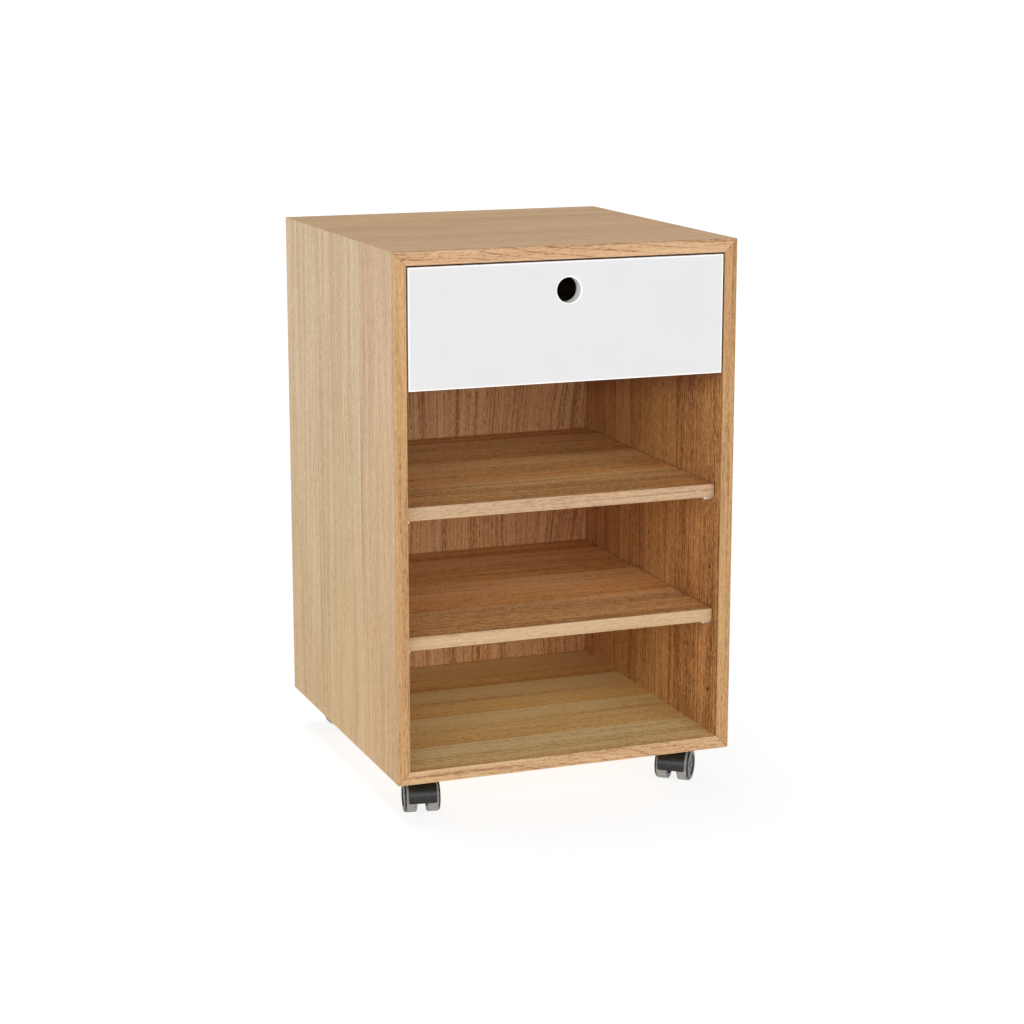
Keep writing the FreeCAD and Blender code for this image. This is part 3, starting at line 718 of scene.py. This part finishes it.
def plate(outline, half, edge):
    """A plate of (y, z) outline, between -half and half along X, with eased edges."""
    bm = bmesh.new()
    face = bm.faces.new([bm.verts.new((-half, y, z)) for y, z in outline])
    grown = bmesh.ops.extrude_face_region(bm, geom=[face])
    moved = [item for item in grown["geom"] if isinstance(item, bmesh.types.BMVert)]
    bmesh.ops.translate(bm, vec=(2 * half, 0, 0), verts=moved)
    bmesh.ops.recalc_face_normals(bm, faces=bm.faces)
    flat = [e for e in bm.edges if abs(e.verts[0].co.x - e.verts[1].co.x) < 1e-6]
    bmesh.ops.bevel(bm, geom=flat, offset=edge, segments=3, profile=0.5, affect="EDGES")
    return bm


def joined(parts, name, way="UNION"):
    """Closed shells united into one, or the later ones cut from the first."""
    meshes = []
    for index, bm in enumerate(parts):
        mesh = bpy.data.meshes.new("%s_%d" % (name, index))
        bm.to_mesh(mesh)
        bm.free()
        meshes.append(mesh)
    carrier = bpy.data.objects.new(name, meshes[0])
    others = []
    for mesh in meshes[1:]:
        other = bpy.data.objects.new(mesh.name, mesh)
        bpy.context.scene.collection.objects.link(other)
        others.append(other)
        union = carrier.modifiers.new(mesh.name, "BOOLEAN")
        union.operation = way
        union.solver = "EXACT"
        union.object = other
    made = plain_mesh(carrier)
    for other in others:
        bpy.data.objects.remove(other)
    return made


def castor_housing():
    """The castor's body: hood, web between the wheels, boss round the axle and head under the collar."""
    arc = [math.radians(HOOD_LOW + 1 + (HOOD_HIGH - HOOD_LOW - 2) * i / 40) for i in range(41)]
    web_r = (HOOD_INNER_R + HOOD_OUTER_R) / 2
    web = [(-AXLE_BACK - web_r * math.cos(a), AXLE_HEIGHT + web_r * math.sin(a)) for a in arc]
    web.append((-AXLE_BACK + 1, AXLE_HEIGHT + 1))
    block = [(-AXLE_BACK, -1), (BLOCK_BACK, -1), (BLOCK_BACK, 1), (-AXLE_BACK, 1)]
    block = [(y, side * (WEB_HALF - 0.05)) for y, side in block]
    block = eased(block, (0, BLOCK_ROUND, BLOCK_ROUND, 0))
    block = upright(plate(block, (HEAD_LOW + 1 - BLOCK_LOW) / 2, 0.3))
    bmesh.ops.translate(block, vec=(0, 0, (HEAD_LOW + 1 + BLOCK_LOW) / 2), verts=block.verts)
    boss = [(-1, 0), (-1, AXLE_BOSS_R), (1, AXLE_BOSS_R), (1, 0)]
    boss = [(side * (WEB_HALF - 0.1), radius) for side, radius in boss]
    boss = spun(eased(boss, 0.4, closed=False), 64)
    bmesh.ops.translate(boss, vec=(0, -AXLE_BACK, AXLE_HEIGHT), verts=boss.verts)
    head = [(HEAD_LOW, 0), (HEAD_LOW, HEAD_R), (HEAD_TOP, HEAD_R), (HEAD_TOP, 0)]
    head = upright(spun(eased(head, 0.4, closed=False), 64))
    return joined([hood_shell(), plate(web, WEB_HALF, 0.4), block, boss, head], "castor_housing")


def upright(bm):
    """Turns a shape made along X so that it stands along Z."""
    bm.transform(Matrix.Rotation(math.radians(-90), 4, "Y"))
    return bm


def set_out_growth():
    """Geometry nodes: one small part set out on marked points, each turned to the mark's own way."""
    g = Growth("set_out_parts", Marks="Geometry", Part="Object", Finish="Material")
    part = g.node("GeometryNodeObjectInfo", {"Object": g.given("Part")}, out="Geometry")
    way = g.node("GeometryNodeInputNamedAttribute", {"Name": "way"}, data_type="FLOAT_VECTOR")
    turn = g.node("FunctionNodeAlignRotationToVector", {"Vector": way}, axis="Z")
    inputs = {"Points": g.given("Marks"), "Instance": part, "Rotation": turn}
    return g.ends(g.node("GeometryNodeInstanceOnPoints", inputs))


def marks(rows):
    """A mesh of loose points in metres, each with the way its part faces."""
    mesh = bpy.data.meshes.new("marks")
    mesh.from_pydata([place for place, way in rows], [], [])
    way = mesh.attributes.new("way", "FLOAT_VECTOR", "POINT")
    for item, (place, direction) in zip(way.data, rows):
        item.vector = direction
    return mesh


def set_out(growth, part, rows, finish):
    """The plain mesh of a part set out on every row of (place, way)."""
    carrier = bpy.data.objects.new("pattern", part)
    bpy.context.scene.collection.objects.link(carrier)
    made = growth.make(marks(rows), Part=carrier, Finish=finish)
    bpy.data.objects.remove(carrier)
    return made


def rail_screw(length):
    """A pan head screw along Z, its head above zero: drive recess, eased head and threaded shank."""
    head = [
        (-0.6, 0), (-0.6, SCREW_R), (0, SCREW_R), (0, SCREW_HEAD_R),
        (SCREW_HEAD_HEIGHT * 0.45, SCREW_HEAD_R), (SCREW_HEAD_HEIGHT, SCREW_HEAD_R * 0.55),
        (SCREW_HEAD_HEIGHT, 0),
    ]
    solid = upright(spun(eased(head, (0, 0, 0.15, 0.3, 1.2, 1.2, 0), closed=False), 40))
    half = SCREW_RECESS / 2
    blades = []
    for turn in (0, 90):
        blade = plate([(-half, -3 * half), (half, -3 * half), (half, 3 * half), (-half, 3 * half)], 0.5, 0.05)
        blade = upright(blade)
        blade.transform(Matrix.Rotation(math.radians(turn), 4, "Z"))
        bmesh.ops.translate(blade, vec=(0, 0, SCREW_HEAD_HEIGHT), verts=blade.verts)
        blades.append(blade)
    made = joined([solid] + blades, "rail_screw", "DIFFERENCE")
    thread = [(-length, 0), (-length + 1.2, SCREW_R * 0.7)]
    pitch = SCREW_PITCH
    turns = int((length - 2.4) / pitch)
    for i in range(turns):
        at = -length + 1.4 + i * pitch
        thread += [(at, SCREW_R * 0.76), (at + pitch * 0.45, SCREW_R), (at + pitch * 0.55, SCREW_R)]
    thread += [(-0.5, SCREW_R * 0.76), (-0.5, 0)]
    shank = bpy.data.meshes.new("shank")
    bm = upright(spun(thread, 24))
    bm.from_mesh(made)
    bm.transform(Matrix.Scale(MM, 4))
    bm.to_mesh(shank)
    bm.free()
    return shank


def shelf_pin():
    """A steel pin along Z, with eased ends and the fine turning ring near each."""
    half, rim = PIN_LENGTH / 2, PIN_CHAMFER
    outline = [
        (-half, 0), (-half, PIN_R - rim), (-half + rim, PIN_R),
        (-half + 1.6, PIN_R), (-half + 1.8, PIN_R - 0.12), (-half + 2.0, PIN_R),
        (half - 2.0, PIN_R), (half - 1.8, PIN_R - 0.12), (half - 1.6, PIN_R),
        (half - rim, PIN_R), (half, PIN_R - rim), (half, 0),
    ]
    return mesh_from(upright(spun(eased(outline, 0.2, closed=False, steps=3), 40)), "shelf_pin")


def build_hardware(zinc, plating):
    """Screws of the rails and pins of the shelves, set out where the bored holes are."""
    growth = set_out_growth()
    for node, body, length in (
        ("case_rail_screws", "case", SCREW_LENGTH),
        ("drawer_rail_screws", "drawer", DRAWER_SCREW_LENGTH),
    ):
        low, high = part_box(node)
        middle = (low.z + high.z) / 2
        part = rail_screw(length)
        face = high.x - length * MM if body == "case" else high.x - SCREW_HEAD_HEIGHT * MM
        rows = []
        first, last = low.y + SCREW_HEAD_R * MM, high.y - SCREW_HEAD_R * MM
        for sign in (-1, 1):
            way = -sign if body == "case" else sign
            rows += [((sign * face, first + (last - first) * i / 2, middle), (way, 0, 0)) for i in range(3)]
        fit_piece(node + "_set", set_out(growth, part, rows, zinc), body, [node])
    pin = shelf_pin()
    for name in ("upper", "lower"):
        node = name + "_shelf_pins"
        low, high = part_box(node)
        middle = (low.z + high.z) / 2
        reach = high.x - PIN_LENGTH / 2 * MM
        rows = [
            ((sign * reach, y, middle), (1, 0, 0))
            for sign in (-1, 1)
            for y in (low.y + PIN_R * MM, high.y - PIN_R * MM)
        ]
        fit_piece(name + "_pin_set", set_out(growth, pin, rows, plating), "case", [node])


def build_castors(nylon, rubber):
    housing = castor_housing()
    ring = tread_growth()
    outline = tread_outline()
    for castor in CASTORS:
        shell = housing.copy()
        shell.transform(castor_place(castor) @ Matrix.Scale(MM, 4))
        shell.shade_smooth()
        node = castor + "_castor_housing"
        fit_piece(castor + "_hood", shell, castor + "_castor", [node], nylon)
        for side, way in SIDES:
            body = "%s_%s_wheel" % (castor, side)
            node = "%s_castor_%s_wheel" % (castor, side)
            fit_piece(body + "_core", wheel_core(castor, way), body, [node], nylon)
            tread = ring.make(outline, Radius=SEAT_R * MM, Turns=96, Finish=rubber)
            out = Matrix.Translation(Vector((way * WHEEL_INNER * MM, 0, 0)))
            turn = Matrix.Rotation(math.radians(-90 * way), 4, "Y")
            tread.transform(axle_place(castor) @ out @ turn)
            node = "%s_castor_%s_tread" % (castor, side)
            fit_piece(body + "_tread_ring", tread, body, [node])


def dress(node, material):
    """Gives a node of the frame its finish."""
    mesh = frame["nodes"][node].data
    mesh.materials.clear()
    mesh.materials.append(material)
    return frame["nodes"][node]


def dress_oak(node, order, start, tones, **rest):
    dress(node, oak("oak_" + node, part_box(node), order, start, tones, **rest))


def dress_case():
    for side, start, inner, lines, veins, spread in (
        ("left", (0.3, 0.785, 0), OAK_INSIDE, 1.15, 1.0, 1.3),
        ("right", (1.7, 0.475, 3), OAK_RIGHT_INSIDE, 1.25, 0.5, 1.2),
    ):
        dress_oak(side + "_side_panel", "zyx", start, OAK_SIDE, inner=inner, side=True,
                  planks=Planks(0.055, 0.145, 0.45, 0.0), lines=lines, streaks=0.3, flecks=1.2, specks=1.2,
                  veins=veins, bands=0.5, spread=spread)
    dress_oak("top_panel", "xyz", (5.1, 0.485, 1), OAK_TOP, inner=OAK_INSIDE,
              planks=Planks(0.07, 0.118, 0.3, 0.0), lines=0.6, streaks=0.3, bands=0.35, spread=1.4)
    dress_oak("bottom_panel", "xyz", (9.3, 2.595, 2), OAK_SIDE, inner=OAK_FLOOR,
              planks=Planks(0.088, 0.112, 0.32, 0.9),
              lines=0.8, streaks=0.15, flecks=1.5, specks=1.5, bands=0.9, spread=1.8)
    dress_oak("back_panel", "zxy", (4.4, 0.53, 1), OAK_BACK, lines=1.5, streaks=0.2, flecks=1.2, specks=1.2,
              veins=0.3, bow=0.05, bow_rate=4.0)
    for name, order, start, tones, rings in (
        ("top", "xzy", (0.4, 0.015, 7), OAK_TOP_LIPPING, 0.5),
        ("bottom", "xzy", (2.9, 0.33, 8), OAK_BOTTOM_LIPPING, 0.2),
        ("left", "zxy", (6.2, 0.21, 3), OAK_LIPPING, 0.15),
        ("right", "zxy", (8.8, 0.76, 5), OAK_LIPPING, 0.15),
    ):
        dress_oak(name + "_lipping", order, start, tones, mitred=True,
                  lines=0.9, streaks=0.3, flecks=0.8, specks=0.8, rings=rings)
    dress("mitre_splines", oak("beech_splines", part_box("mitre_splines"), "yxz", (0, 0, 0), BEECH))


def dress_shelves():
    for name, start, joint_at, tones in (
        ("upper", (3.3, 3.785, 4), 0.035, OAK_SHELF),
        ("lower", (7.9, 0.695, 6), 0.028, OAK_LOWER_SHELF),
    ):
        board = name + "_shelf"
        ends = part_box(board)[1].x - 0.9 * MM
        dress_oak(board, "xyz", start, tones, planks=Planks(joint_at, 0.125, 0.4, 0.7), ends=ends,
                  lines=0.8, streaks=0.15, flecks=1.6, specks=1.6, bands=0.8, spread=1.6)
        dress_oak(board + "_lipping", "xzy", start, OAK_SHELF_LIPPING, ends=ends,
                  lines=0.5, streaks=0.5, flecks=0.7, specks=0.7, rings=0.15)


def white_lacquer(name, box):
    """Sprayed satin lacquer: a faint orange peel, arrises polished a little glossier and painted near white
    as a highlight, the finger hole's wall and rim painted near white as a highlight, and a few specks.
    """
    f = Finish(name)
    place = f.object_place()
    peel = f.noise(f.scaled(place, (900, 900, 900)), detail=1.0)
    cloud = f.noise(f.scaled(place, (14, 14, 14)), detail=3.0)
    specks = f.step(f.noise(f.scaled(place, (260, 260, 260)), detail=0.0), 0.80, 0.84)
    x, _, z = f.split(place)
    z = f.math("SUBTRACT", z, FINGER_HOLE_HEIGHT * MM)
    reach = f.math("SQRT", f.math("ADD", f.times(x, x), f.times(z, z)))
    # Painted highlight on the finger hole's wall and rim
    ring = f.step(reach, (FINGER_HOLE_R + 2.2) * MM, (FINGER_HOLE_R + 0.8) * MM)
    edge_wear_and_highlight = f.math("MAXIMUM", ring, near_arris(f, place, box[0], box[1], 2.6 * MM))
    colour = f.mix(cloud, paint(210, 210, 210), paint(216, 216, 216))
    colour = f.mix(f.times(specks, 0.10), colour, paint(176, 174, 170))
    # Arrises and the finger hole painted near white: a painted highlight
    colour = f.mix(edge_wear_and_highlight, colour, paint(250, 250, 250))
    rough = f.add(0.33, f.times(cloud, 0.08), f.times(edge_wear_and_highlight, -0.08))
    normal = f.bump(peel, 0.05, 0.10 * MM)
    return f.done(Base_Color=colour, Roughness=rough, Normal=normal)


def board_white(name):
    """The drawer floor's melamine face, with its fine pearl texture."""
    f = Finish(name)
    place = f.object_place()
    pearl = f.noise(f.scaled(place, (1400, 1400, 1400)), detail=2.0)
    cloud = f.noise(f.scaled(place, (9, 9, 9)), detail=2.0)
    colour = f.mix(cloud, paint(226, 226, 222), paint(234, 234, 231))
    rough = f.add(0.45, f.times(pearl, 0.2))
    return f.done(Base_Color=colour, Roughness=rough, Normal=f.bump(pearl, 0.12, 0.1 * MM))


def dress_drawer():
    dress("drawer_front", white_lacquer("white_lacquer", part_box("drawer_front")))
    dress("drawer_floor", board_white("white_board"))
    for node, order in (("drawer_left_side", "yzx"), ("drawer_right_side", "yzx"), ("drawer_back", "xzy")):
        low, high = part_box(node)
        finish = oak("birch_" + node, (low, high), order, (1.1, 0.2, 0.3), BIRCH,
                     plies=min(high - low) / PLIES, lines=0.4, streaks=0.4, flecks=0.6, specks=0.6, bands=0.4)
        dress(node, finish)
    dress("drawer_dowels", oak("beech_dowels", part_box("drawer_dowels"), "yxz", (0, 0, 0), BEECH))


def steel(name, colour, roughness, spangle, metal=1.0):
    """Plated steel with a cloudy plating and fine rolling lines."""
    f = Finish(name)
    place = f.object_place()
    cells = f.node("TexVoronoi", {"Vector": f.scaled(place, (260, 260, 260)), "Scale": 1.0}, out="Color")
    tone, _, _ = f.split(cells)
    rolled = f.noise(f.scaled(place, (1800, 30, 1800)), detail=2.0)
    cloud = f.noise(f.scaled(place, (40, 40, 40)), detail=3.0)
    share = f.add(f.times(tone, spangle), f.times(cloud, 0.5))
    dull = tuple(part * 0.72 for part in colour[:3]) + (1.0,)
    rough = f.add(roughness, f.times(cloud, 0.16), f.times(rolled, 0.08))
    normal = f.bump(f.add(rolled, cloud), 0.08, 0.08 * MM)
    f.put(f.shader.inputs["Metallic"], metal)
    return f.done(Base_Color=f.mix(share, colour, dull), Roughness=rough, Normal=normal)


def moulded_nylon(name, colour, roughness):
    """Black moulded nylon: spark eroded texture, dusty hollows and rubbed high spots."""
    f = Finish(name)
    place = f.object_place()
    spark = f.noise(f.scaled(place, (2600, 2600, 2600)), detail=2.0)
    scuff = f.step(f.noise(f.scaled(place, (160, 160, 900)), detail=3.0), 0.56, 0.74)
    dust = f.noise(f.scaled(place, (120, 120, 120)), detail=4.0)
    tone = f.mix(f.times(dust, 0.3), colour, paint(42, 42, 44))
    tone = f.mix(f.times(scuff, 0.10), tone, paint(104, 102, 100))
    rough = f.add(roughness, f.times(spark, 0.12), f.times(scuff, 0.14))
    f.put(f.shader.inputs["Specular IOR Level"], 0.45)
    return f.done(Base_Color=tone, Roughness=rough, Normal=f.bump(spark, 0.16, 0.09 * MM))


def tread_rubber(name):
    """Soft grey tread with the dust and small nicks of a floor on it."""
    f = Finish(name)
    place = f.object_place()
    grit = f.noise(f.scaled(place, (900, 900, 900)), detail=3.0)
    marks = f.step(f.noise(f.scaled(place, (230, 230, 230)), detail=3.0), 0.52, 0.72)
    colour = f.mix(grit, paint(124, 121, 117), paint(152, 148, 142))
    colour = f.mix(f.times(marks, 0.55), colour, paint(84, 81, 78))
    rough = f.add(0.55, f.times(grit, 0.15))
    return f.done(Base_Color=colour, Roughness=rough, Normal=f.bump(grit, 0.18, 0.12 * MM))


def soft_light(name, turn, rise, width, power):
    """A wide, even, far off light, turned to the left of the case's front and raised."""
    data = bpy.data.lights.new(name, "SUN")
    data.angle = math.radians(width)
    data.energy = power
    lamp = bpy.data.objects.new(name, data)
    bpy.context.scene.collection.objects.link(lamp)
    turn, rise = math.radians(turn), math.radians(rise)
    level = math.cos(rise)
    away = Vector((-math.sin(turn) * level, -math.cos(turn) * level, math.sin(rise)))
    lamp.location = away * 3
    lamp.rotation_euler = away.to_track_quat("Z", "Y").to_euler()


def set_studio():
    """White surroundings, a pale floor and soft light from the front, the left and above."""
    world = bpy.data.worlds.new("studio")
    bpy.context.scene.world = world
    world.use_nodes = True
    world.node_tree.nodes["Background"].inputs["Color"].default_value = (1, 1, 1, 1)
    seen = world.node_tree.nodes.new("ShaderNodeLightPath").outputs["Is Camera Ray"]
    strength = world.node_tree.nodes.new("ShaderNodeMapRange")
    strength.inputs["To Min"].default_value = SKY_LIGHT
    world.node_tree.links.new(seen, strength.inputs["Value"])
    world.node_tree.links.new(strength.outputs[0], world.node_tree.nodes["Background"].inputs["Strength"])

    mesh = bpy.data.meshes.new("floor")
    reach = 30.0
    corners = [(-reach, -reach, 0), (reach, -reach, 0), (reach, reach, 0), (-reach, reach, 0)]
    mesh.from_pydata(corners, [], [(0, 1, 2, 3)])
    floor = bpy.data.objects.new("floor", mesh)
    bpy.context.scene.collection.objects.link(floor)
    f = Finish("floor_paint")
    cloud = f.noise(f.scaled(f.object_place(), (2, 2, 2)), detail=2.0)
    colour = f.mix(cloud, paint(128, 128, 128), paint(132, 132, 132))
    glow = dict(Emission_Color=(1, 1, 1, 1), Emission_Strength=FLOOR_GLOW)
    mesh.materials.append(f.done(Base_Color=colour, Roughness=0.8, **glow))

    for name, (turn, rise, width, power) in LIGHTS.items():
        soft_light(name, turn, rise, width, power)
    bpy.context.scene.view_settings.view_transform = "Standard"


def place_camera():
    data = bpy.data.cameras.new("camera")
    data.lens = CAMERA_LENS
    data.sensor_width = 36.0
    camera = bpy.data.objects.new("camera", data)
    bpy.context.scene.collection.objects.link(camera)
    camera.location = CAMERA_PLACE
    camera.rotation_euler = (math.radians(CAMERA_PITCH), 0, math.radians(CAMERA_TURN))
    bpy.context.scene.camera = camera


place_camera()
set_studio()
dress_case()
dress_shelves()
dress_drawer()

zinc = steel("zinc_plating", paint(196, 198, 200), 0.34, 0.5)
ball_steel = steel("ball_polish", paint(206, 206, 208), 0.16, 0.1)
pin_plating = steel("pin_nickel", paint(250, 250, 252), 0.24, 0.1, metal=0.7)
nylon = moulded_nylon("wheel_nylon", paint(9, 9, 12), 0.21)
tread = tread_rubber("tread_rubber")
for side, _ in SIDES:
    for part in ("case_rail", "middle_rail", "drawer_rail"):
        dress("%s_%s" % (side, part), zinc)
    for part in ("outer_ball_cage", "inner_ball_cage"):
        dress("%s_%s" % (side, part), ball_steel)
for node in ("castor_inserts", "castor_stems"):
    dress(node, zinc)
for castor in CASTORS:
    dress(castor + "_castor_axle", ball_steel)
build_castors(nylon, tread)
build_hardware(zinc, pin_plating)
